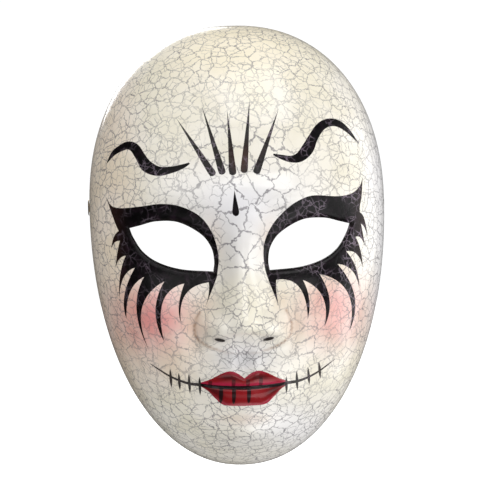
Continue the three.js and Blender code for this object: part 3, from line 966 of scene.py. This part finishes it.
def add_shell():
    """The glazed front, and behind it the bare lining with the edges of the wall."""
    sheet, triangles, regions = triangulate()
    front, normals = rolled_face(sheet)
    back = front - normals * WALL
    at_rim = gauge(sheet[:, 0], sheet[:, 1]) > RIM - 1e-4
    front[at_rim, 1] = 0
    back[at_rim, 1] = 0

    skin = make_object("glazed_face", front, triangles, "mask", ["mask_shell"],
                       glaze_material())
    skin.data.normals_split_custom_set_from_vertices(normals.tolist())
    flat = np.column_stack([sheet, np.zeros(len(sheet))])
    set_values(skin.data, "sheet", flat)
    paint_values(skin.data, front, regions)

    sides = np.vstack([triangles[:, [0, 1]], triangles[:, [1, 2]], triangles[:, [2, 0]]])
    _, first, count = np.unique(np.sort(sides, axis=1), axis=0, return_index=True, return_counts=True)
    open_sides = sides[first[count == 1]]
    walls = [(b, a, a + len(front), b + len(front)) for a, b in open_sides]
    inner = triangles[:, ::-1] + len(front)
    lining = make_object("shell_lining", np.vstack([front, back]), [*inner, *walls], "mask",
                         ["mask_shell"], lining_material(), sharp=50)
    set_values(lining.data, "sheet", np.vstack([flat, flat]))
    distance = np.minimum(*(nearest_on(front[:, [0, 2]], outline)[0] for outline in EYES))
    to_nostrils = [np.hypot(front[:, 0] - s * NOSTRIL[0], front[:, 2] - NOSTRIL[1]) for s in (-1, 1)]
    near_rim = smooth(RIM - 0.05, RIM, gauge(sheet[:, 0], sheet[:, 1]))
    # edge: overspray round the eye holes and the rim, and painted shade round the nostril slits
    edge = smooth(7, 0, distance) + 3 * smooth(5, 2, np.minimum(*to_nostrils)) + 0.3 * near_rim
    set_values(lining.data, "edge", np.concatenate([edge, edge]))
    keep_used_points(lining.data)


def keep_used_points(mesh):
    """Removes the points that no face uses."""
    edit = bmesh.new()
    edit.from_mesh(mesh)
    loose = [v for v in edit.verts if not v.link_faces]
    bmesh.ops.delete(edit, geom=loose, context="VERTS")
    edit.to_mesh(mesh)
    edit.free()


# ---- Fabric, metal and thread ----
RIB_PITCH = 1.25         # mm across the elastic, in the mesh and in its material
WEAVE_ROW = 0.9          # mm along it


def foam_material():
    """Short-napped fabric over foam: near black, a little dusty, with a fine pile."""
    black = srgb(52, 50, 54)
    material, tree, shader = new_material(
        "napped_fabric", black, roughness=0.95, sheen_weight=0.35, sheen_roughness=0.5)
    place = object_place(tree)
    nap = noise(tree, place, 1700, 3.0)
    cloudy = clouds(tree, place, 60, 3.0, 0.35, 0.65)
    worn = mix(tree, cloudy, black, srgb(66, 63, 66))
    dusty = mix(tree, ramp(tree, nap, 0.45, 0.75), worn, srgb(92, 88, 92))
    finish_material(tree, shader, dusty, bump(tree, nap, 0.7, 0.35))
    return material


def elastic_material():
    """Woven elastic: the ribs are in the mesh, the cross threads are here."""
    black = srgb(34, 33, 37)
    material, tree, shader = new_material(
        "woven_elastic", black, roughness=0.78, sheen_weight=0.3, sheen_roughness=0.4)
    thread = attribute(tree, "weave", "Vector")
    rows = maths(tree, "SINE", times(tree, split(tree, thread, "X"), 2 * math.pi / WEAVE_ROW))
    ribs = maths(tree, "SINE", times(tree, split(tree, thread, "Y"), 2 * math.pi / RIB_PITCH))
    weave = times(tree, rows, maths(tree, "SIGN", ribs))
    lit = ramp(tree, weave, -0.2, 1.0)
    fluff = noise(tree, object_place(tree), 2500, 2.0)
    tint = mix(tree, lit, srgb(20, 19, 22), srgb(62, 60, 66))
    fluffy = mix(tree, ramp(tree, fluff, 0.6, 0.8, 0, 0.5), tint, srgb(96, 94, 98))
    finish_material(tree, shader, fluffy, bump(tree, maths(tree, "ADD", weave, fluff), 0.6, 0.12))
    return material


def thread_material():
    """Twisted polyester thread with a soft shine."""
    grey = srgb(58, 55, 62)
    material, tree, shader = new_material(
        "stitch_thread", grey, roughness=0.5, sheen_weight=0.4, sheen_roughness=0.3)
    twist = maths(tree, "SINE", times(tree, split(tree, attribute(tree, "weave", "Vector"), "X"), 14.0))
    strands = mix(tree, ramp(tree, twist, -0.6, 0.8), srgb(34, 32, 38), srgb(88, 84, 94))
    finish_material(tree, shader, strands, bump(tree, twist, 0.5, 0.05))
    return material


def brass_material():
    """Polished brass, a little tarnished and finely scratched."""
    brass = srgb(214, 178, 104)
    material, tree, shader = new_material("rivet_brass", brass, roughness=0.28, metallic=1.0)
    place = object_place(tree)
    tarnish = clouds(tree, place, 520, 4.0, 0.45, 0.7)
    scratches = noise(tree, vector_maths(tree, "MULTIPLY", place, (1, 1, 6)), 900, 3.0)
    finish_material(tree, shader, mix(tree, tarnish, brass, srgb(150, 112, 62)),
                    bump(tree, scratches, 0.25, 0.04), ramp(tree, tarnish, 0, 1, 0.2, 0.42))
    return material


def object_place(tree):
    return tree.nodes.new("ShaderNodeTexCoord").outputs["Object"]


def split(tree, vector, axis):
    node = tree.nodes.new("ShaderNodeSeparateXYZ")
    plug(tree, node.inputs[0], vector)
    return node.outputs[axis]


# ---- Pads: fabric-faced foam, glued to the lining ----
PAD_GLUED_AT = WALL + 0.5    # depth of the glued side below the outer face, past the glue line
PAD_SIDE = 0.9               # height of the side wall
PAD_CROWN = 0.72 * 6.0       # rise of the crown before it swells, from a pad 6 mm thick
PAD_INSET = 0.97             # the cushion's size inside its piping
PAD_RINGS = 16
PAD_SPOKES = 96
PAD_SWELL = 1.0              # furthest that the swelling may move a point, in mm
PIPING_RADIUS = 0.55
STITCH_PITCH = 3.4
STITCH_LENGTH = 2.1
THREAD_RADIUS = 0.19
SIMULATED_SCALE = 20         # the cloth solver works better on something the size of furniture
CLOTH_FRAMES = 20


def superellipse(turn):
    return np.stack([np.sign(np.cos(turn)) * np.abs(np.cos(turn)) ** 0.5,
                     np.sign(np.sin(turn)) * np.abs(np.sin(turn)) ** 0.5], -1)


def pad_ring(centre, half, share, depth):
    """A ring of points round the pad's middle, at a depth below the outer face."""
    ring = to_sheet(np.array(centre) + superellipse(full_turn(PAD_SPOKES)) * np.array(half) * share)
    return below_face(ring, np.full(PAD_SPOKES, depth))


def pad_mesh(centre, half):
    """Glued side first, then the crowned face: rings out from the middle, and a side wall between."""
    glued, face = [], []
    for ring in range(1, PAD_RINGS + 1):
        share = ring / PAD_RINGS
        crown = PAD_CROWN * (1 - share ** 5) ** 0.5
        glued.append(pad_ring(centre, half, share * PAD_INSET, PAD_GLUED_AT))
        face.append(pad_ring(centre, half, share * PAD_INSET, PAD_GLUED_AT + PAD_SIDE + crown))
    middle = to_sheet(np.array([centre]))
    glued_middle = below_face(middle, np.array([PAD_GLUED_AT]))
    face_middle = below_face(middle, np.array([PAD_GLUED_AT + PAD_SIDE + PAD_CROWN]))
    points = np.vstack([glued_middle, *glued, face_middle, *face])
    size = 1 + PAD_RINGS * PAD_SPOKES
    outermost = 1 + (PAD_RINGS - 1) * PAD_SPOKES
    faces = []
    for s in range(PAD_SPOKES):
        n = (s + 1) % PAD_SPOKES
        for base, flip in ((0, False), (size, True)):
            fan = (base, base + 1 + s, base + 1 + n)
            faces.append(fan[::-1] if flip else fan)
            for r in range(PAD_RINGS - 1):
                inner, outer = base + 1 + r * PAD_SPOKES, base + 1 + (r + 1) * PAD_SPOKES
                quad = (inner + s, outer + s, outer + n, inner + n)
                faces.append(quad[::-1] if flip else quad)
        edge, top = outermost, size + outermost
        faces.append((edge + s, top + s, top + n, edge + n))
    return points, faces, size


def swell(pad, glued_points):
    """Blows the pad up a little with its glued side held, and keeps the result in the mesh."""
    mesh = pad.data
    rest = np.array([v.co[:] for v in mesh.vertices])
    twin = pad.copy()
    twin.data = mesh.copy()
    twin.data.vertices.foreach_set("co", (rest * SIMULATED_SCALE).ravel())
    twin.parent = None
    bpy.context.scene.collection.objects.link(twin)
    glued = twin.vertex_groups.new(name="glued")
    glued.add(list(range(glued_points)), 1.0, "REPLACE")
    cloth = twin.modifiers.new("swell", "CLOTH").settings
    cloth.vertex_group_mass = "glued"
    cloth.use_pressure = True
    cloth.uniform_pressure_force = 4
    cloth.effector_weights.gravity = 0
    scene = bpy.context.scene
    for frame_number in range(1, CLOTH_FRAMES + 1):
        scene.frame_set(frame_number)
    swollen = twin.evaluated_get(bpy.context.evaluated_depsgraph_get()).to_mesh()
    moved = np.array([v.co[:] for v in swollen.vertices]) / SIMULATED_SCALE - rest
    far = np.linalg.norm(moved, axis=1, keepdims=True)
    moved *= np.minimum(1, PAD_SWELL * MM / np.maximum(far, 1e-12))
    mesh.vertices.foreach_set("co", (rest + moved).ravel())
    mesh.update()
    scene.frame_set(1)
    bpy.data.objects.remove(twin)


def tube(path, radius, sides, closed=False):
    """Points and faces of a round tube along a path, in mm."""
    path = np.asarray(path, float)
    if closed:
        along = unit(np.roll(path, -1, axis=0) - np.roll(path, 1, axis=0))
    else:
        along = unit(np.gradient(path, axis=0))
    guide = np.array([0.31, 0.93, 0.2])   # along none of the paths
    across = unit(np.cross(along, guide))
    other = np.cross(along, across)
    turn = full_turn(sides)
    rings = [p + radius * (np.outer(np.cos(turn), a) + np.outer(np.sin(turn), o))
             for p, a, o in zip(path, across, other)]
    faces = ring_quads(len(path), sides, closed)
    if not closed:
        faces += end_caps(len(path), sides)
    return np.vstack(rings), faces


def add_pad(name, centre, half, fabric, thread):
    points, faces, glued_points = pad_mesh(centre, half)
    pad = make_object(name + "_cushion", points, faces, "mask", [name], fabric)
    outward_faces(pad.data)
    swell(pad, glued_points)
    piping = pad_ring(centre, half, 0.985, PAD_GLUED_AT + 0.7)
    seam_points, seam_faces = tube(piping, PIPING_RADIUS, 8, closed=True)
    seam = make_object(name + "_piping", seam_points, seam_faces, "mask", [name], fabric)
    outward_faces(seam.data)
    stitched_at = PAD_GLUED_AT + PAD_SIDE + PAD_CROWN * 0.82 + 0.55
    add_running_stitch(name + "_stitches", pad_ring(centre, half, 0.84, stitched_at), thread, name)


def add_running_stitch(name, loop, material, node):
    """Short thread bars all round a closed loop of points."""
    closed = np.vstack([loop, loop[:1]])
    reach = distance_along(closed)
    length = reach[-1]
    count = int(length / STITCH_PITCH)
    sides = 7
    points, faces, weave = [], [], []
    for k in range(count):
        start = k * length / count
        at = np.linspace(start, start + STITCH_LENGTH, 6)
        bar = np.stack([np.interp(at, reach, closed[:, axis]) for axis in range(3)], -1)
        tube_points, tube_faces = tube(bar, THREAD_RADIUS, sides)
        first = len(weave)
        points.append(tube_points)
        weave += [(distance, 0, 0) for distance in np.repeat(at, sides)]
        faces += [tuple(first + v for v in face) for face in tube_faces]
    stitches = make_object(name, np.vstack(points), faces, "mask", [node], material)
    outward_faces(stitches.data)
    set_values(stitches.data, "weave", np.array(weave))


def outward_faces(mesh):
    edit = bmesh.new()
    edit.from_mesh(mesh)
    bmesh.ops.recalc_face_normals(edit, faces=edit.faces)
    edit.to_mesh(mesh)
    edit.free()


# ---- Rivets and washers ----
LATHE_STEPS = 72
RIVET_BORE = 1.5
RIVET_BARREL = 2.2
ROLLED_RADIUS = 3.2      # of the end that is rolled over the washer
FLANGE = 0.6             # thickness of the head and of the rolled end
WASHER_BORE = 2.5


def rivet_circle(x, radius, steps):
    """A circle about the rivets' axis, which runs along X."""
    turn = full_turn(steps)
    y, z = RIVET_Y + radius * np.cos(turn), WIDEST_Z + radius * np.sin(turn)
    return np.stack([np.full(steps, x), y, z], -1)


def turned(profile, side, name, node, material):
    """A closed profile of (radius, x), turned about the rivets' axis."""
    points = np.vstack([rivet_circle(side * x, radius, LATHE_STEPS) for radius, x in profile])
    faces = ring_quads(len(profile), LATHE_STEPS, closed=True)
    piece = make_object(name, points, faces, "mask", [node], material, sharp=40)
    outward_faces(piece.data)


def rounded(corners, radius, steps=4):
    """A closed profile with each corner rounded off."""
    corners = np.array(corners, float)
    out = []
    for before, corner, after in zip(np.roll(corners, 1, axis=0), corners, np.roll(corners, -1, axis=0)):
        a, b = before - corner, after - corner
        cut = min(radius, np.linalg.norm(a) * 0.45, np.linalg.norm(b) * 0.45)
        start, end = corner + unit(a) * cut, corner + unit(b) * cut
        out += [(1 - t) ** 2 * start + 2 * t * (1 - t) * corner + t * t * end
                for t in np.linspace(0, 1, steps)]
    return out


def near_and_far(low, high):
    """How far a node's inner and outer ends are from the middle of the mask."""
    return sorted((abs(low[0]), abs(high[0])))


def add_rivets(brass):
    for name, side in (("left", -1), ("right", 1)):
        low, high = box_mm(f"rivet_{name}")
        rolled_inside, head_outside = near_and_far(low, high)
        head_radius = (high[1] - low[1]) / 2
        head_inside, rolled_outside = head_outside - FLANGE, rolled_inside + FLANGE
        turned(rounded([
            (RIVET_BORE, rolled_inside + 0.1), (RIVET_BORE + 0.5, rolled_inside),
            (ROLLED_RADIUS - 0.2, rolled_inside), (ROLLED_RADIUS, rolled_outside - 0.1),
            (ROLLED_RADIUS - 0.1, rolled_outside), (RIVET_BARREL, rolled_outside),
            (RIVET_BARREL, head_inside), (head_radius, head_inside),
            (head_radius - 0.1, head_outside - 0.35), (head_radius - 1.2, head_outside),
            (RIVET_BORE + 0.7, head_outside - 0.02), (RIVET_BORE, head_outside - 0.45),
        ], 0.22), side, f"eyelet_{name}", f"rivet_{name}", brass)

        low, high = box_mm(f"washer_{name}")
        inside, outside = near_and_far(low, high)
        radius = (high[1] - low[1]) / 2
        corners = [(WASHER_BORE, inside), (radius, inside), (radius, outside), (WASHER_BORE, outside)]
        turned(rounded(corners, 0.18), side, f"back_washer_{name}", f"washer_{name}", brass)


# ---- Elastic strap: a woven band, folded over and tacked at each end ----
LAYER = 0.92             # thickness of one layer, a little less than the CAD strap's 1 mm
STRAP_WIDTH = 10
RIB_DEPTH = 0.13
SELVEDGE = 0.12          # how much narrower the section's outermost points are
FOLD_RADIUS = 0.5        # of the middle line, and half a CAD layer
TAB_GAP = 0.6            # between the inner side of the wall's rim and the tab
TAB_INSIDE = HALF_WIDTH * (1 - TUCK) - WALL - TAB_GAP - 4 * FOLD_RADIUS   # x of the folded end's inner face
TAB_TOP = WIDEST_Z + 6
TAB_BOTTOM = WIDEST_Z - 11
HANG_TOP = TAB_BOTTOM - 2    # where the straight end turns into the loop
HANG_BOTTOM = WIDEST_Z - 111
HANG_HANDLE = 60.0       # length of the loop curve's upper handle
HANG_FLAT = 30.0         # length of its lower one
PATH_STEP = 0.7
PUNCHED_RADIUS = 2.45
PUNCH_SIDES = 48
TACK_STITCHES = 17


def strap_path():
    """The band's middle line, in (x, z): up the outer layer, over the fold and round the hanging loop."""
    inner_x = TAB_INSIDE + FOLD_RADIUS
    outer_x = inner_x + 2 * FOLD_RADIUS
    fold_z = TAB_TOP - FOLD_RADIUS - LAYER / 2
    up = [(outer_x, z) for z in np.arange(TAB_BOTTOM, fold_z, PATH_STEP)]
    over = [(inner_x + FOLD_RADIUS + FOLD_RADIUS * math.cos(a), fold_z + FOLD_RADIUS * math.sin(a))
            for a in np.linspace(0, math.pi, 9)]
    down = [(inner_x, z) for z in np.arange(fold_z - PATH_STEP, HANG_TOP + 0.3, -PATH_STEP)]
    t = np.linspace(0, 1, 190)[:, None]
    a, b, c, d = np.array([(inner_x, HANG_TOP), (inner_x, HANG_TOP - HANG_HANDLE),
                           (HANG_FLAT, HANG_BOTTOM), (0, HANG_BOTTOM)])
    hang = (1 - t) ** 3 * a + 3 * t * (1 - t) ** 2 * b + 3 * t * t * (1 - t) * c + t ** 3 * d
    half = np.vstack([up, over, down, hang])
    mirrored = (half[:-1] * [-1, 1])[::-1]
    return np.vstack([half, mirrored])


def strap_section():
    """Round the band's section: across its width in Y and through its thickness, ribbed on both faces."""
    across = np.linspace(-STRAP_WIDTH / 2 + SELVEDGE, STRAP_WIDTH / 2 - SELVEDGE, 57)
    ribs = 0.5 - 0.5 * np.cos(2 * math.pi * (across + STRAP_WIDTH / 2) / RIB_PITCH)
    half = LAYER / 2 - RIB_DEPTH * (1 - ribs)
    half[[0, -1]] *= 0.45
    front = np.stack([across, half], -1)
    back = np.stack([across, -half], -1)[::-1]
    return np.vstack([front, back])


def add_strap(material):
    path = strap_path()
    along = unit(np.gradient(path, axis=0))
    across = np.stack([-along[:, 1], along[:, 0]], -1)
    section = strap_section()
    points, weave = [], []
    for (x, z), (nx, nz), distance in zip(path, across, distance_along(path)):
        for y, t in section:
            points.append((x + nx * t, RIVET_Y + y, z + nz * t))
            weave.append((distance, y + STRAP_WIDTH / 2, 0))
    faces = ring_quads(len(path), len(section)) + end_caps(len(path), len(section))
    strap = make_object("head_elastic", points, faces, "strap", ["elastic_strap"],
                        material, sharp=60)
    set_values(strap.data, "weave", np.array(weave))
    outward_faces(strap.data)
    punch_rivet_holes(strap)


def punch_rivet_holes(strap):
    """Cuts a round hole through both layers at each end."""
    for side in (-1, 1):
        ends = [rivet_circle(side * x, PUNCHED_RADIUS, PUNCH_SIDES) for x in (TAB_INSIDE - 3, TAB_INSIDE + 5)]
        mesh = bpy.data.meshes.new("punch")
        faces = ring_quads(2, PUNCH_SIDES) + end_caps(2, PUNCH_SIDES)
        mesh.from_pydata((np.vstack(ends) * MM).tolist(), [], faces)
        outward_faces(mesh)
        punch = add_object("punch", mesh)
        cut = strap.modifiers.new("hole", "BOOLEAN")
        cut.operation = "DIFFERENCE"
        cut.solver = "EXACT"
        cut.object = punch
        evaluated = strap.evaluated_get(bpy.context.evaluated_depsgraph_get())
        cut_mesh = bpy.data.meshes.new_from_object(evaluated)
        strap.modifiers.remove(cut)
        strap.data = cut_mesh
        bpy.data.objects.remove(punch)


def add_bar_tacks(material):
    """A dense zigzag of thread through both layers, on the side towards the face."""
    margin, sides = 0.2, 8
    for name, side in (("left", -1), ("right", 1)):
        low, high = box_mm(f"strap_stitch_{name}")
        bottom, top = low[2] + margin, high[2] - margin
        y = np.linspace(low[1] + 0.25, high[1] - 0.25, 2 * TACK_STITCHES + 1)
        z = np.where(np.arange(len(y)) % 2, top, bottom)
        corners = np.stack([np.full(len(y), 0.0), y, z], -1)
        steps = [a + (b - a) * t for a, b in zip(corners[:-1], corners[1:]) for t in (0, 0.2, 0.4, 0.6, 0.8)]
        path = np.array([*steps, corners[-1]])
        towards_ends = np.abs((path[:, 2] - bottom) / (top - bottom) * 2 - 1)
        path[:, 0] = side * (TAB_INSIDE - 0.14 + 0.25 * towards_ends ** 3)
        points, faces = tube(path, THREAD_RADIUS, sides)
        tack = make_object(f"bar_tack_{name}", points, faces, "strap", [f"strap_stitch_{name}"],
                           material)
        reach = np.repeat(distance_along(path), sides)
        set_values(tack.data, "weave", np.column_stack([reach, 0 * reach, 0 * reach]))
        outward_faces(tack.data)


# ---- Light and stage ----
LIT_POINT = (0, -0.05, 0.01)   # every softbox is aimed at the middle of the mask


def add_softbox(name, place, size, watts):
    data = bpy.data.lights.new(name, "AREA")
    data.shape = "RECTANGLE"
    data.size, data.size_y = size
    data.energy = watts
    light = add_object(name, data)
    light.location = place
    light.rotation_euler = (Vector(LIT_POINT) - Vector(place)).to_track_quat("-Z", "Y").to_euler()


WORLD_LIGHT = 0.52       # from all round, on matt surfaces
WORLD_GLOSS = 0.045      # the studio is darker than that where it shows as a reflection
WORLD_SEEN = 1.05        # the plain white background
# Softboxes: place in metres, size in metres and watts.
SOFTBOXES = {
    "key": ((0.4, -1.25, 1.65), (1.4, 1.4), 17),
    "front_strip": ((0.8, -1.75, 0.2), (0.45, 0.9), 1),
    "overhead": ((0, -0.1, 1.9), (1.2, 1.2), 3),
    "right": ((1.6, -0.9, -0.35), (1.0, 1.0), 2),
    "right_rear": ((1.9, 0.2, -0.1), (1.4, 1.8), 16),
    "low_right": ((1.1, -1.1, -1.4), (1.5, 1.5), 12),
    "low_front": ((-0.1, -1.4, -1.3), (2.4, 1.4), 5),
    "upper_left": ((-1.0, -1.3, 1.0), (1.2, 1.2), 5),
    "behind": ((-0.5, 1.7, 0.9), (1.0, 1.0), 13),
}


def add_lights():
    world = bpy.data.worlds.new("studio")
    bpy.context.scene.world = world
    world.use_nodes = True
    tree = world.node_tree
    background = tree.nodes["Background"]
    rays = tree.nodes.new("ShaderNodeLightPath")
    softer = ramp(tree, rays.outputs["Is Glossy Ray"], 0, 1, WORLD_LIGHT, WORLD_GLOSS)
    background.inputs["Color"].default_value = (1, 1, 1, 1)
    strength = ramp(tree, rays.outputs["Is Camera Ray"], 0, 1, softer, WORLD_SEEN)
    plug(tree, background.inputs["Strength"], strength)
    for name, (place, size, watts) in SOFTBOXES.items():
        add_softbox(name, place, size, watts)


FLOOR_DROP = 0.045       # below the mask, in metres
FLOOR_REACH = 9


def add_stage():
    """A plain pale floor below the mask, bright enough to run into the background.

    Only the camera sees it, so the low softboxes light the mask from under it.
    """
    floor_z = shell_low[2] * MM - FLOOR_DROP
    mesh = bpy.data.meshes.new("floor")
    corners = [(x * FLOOR_REACH, y * FLOOR_REACH, floor_z) for x, y in ((-1, -1), (1, -1), (1, 1), (-1, 1))]
    mesh.from_pydata(corners, [], [(0, 1, 2, 3)])
    material, _, shader = new_material("pale_floor", (0.86, 0.86, 0.86, 1), roughness=0.9)
    shader.inputs["Emission Color"].default_value = (1, 1, 1, 1)
    shader.inputs["Emission Strength"].default_value = 0.85
    shader.inputs["Specular IOR Level"].default_value = 0.0
    mesh.materials.append(material)
    floor = add_object("floor", mesh)
    floor.visible_diffuse = False
    floor.visible_glossy = False
    floor.visible_shadow = False


# ---- Everything, in order ----
add_camera()
add_shell()

pad_fabric = foam_material()
pad_thread = thread_material()
add_pad("forehead_pad", (0, 62), (45, 9), pad_fabric, pad_thread)
add_pad("cheek_pad_left", (-48, -40), (10, 17), pad_fabric, pad_thread)
add_pad("cheek_pad_right", (48, -40), (10, 17), pad_fabric, pad_thread)
add_rivets(brass_material())
add_strap(elastic_material())
add_bar_tacks(pad_thread)

add_lights()
add_stage()
bpy.context.scene.view_settings.view_transform = "Standard"
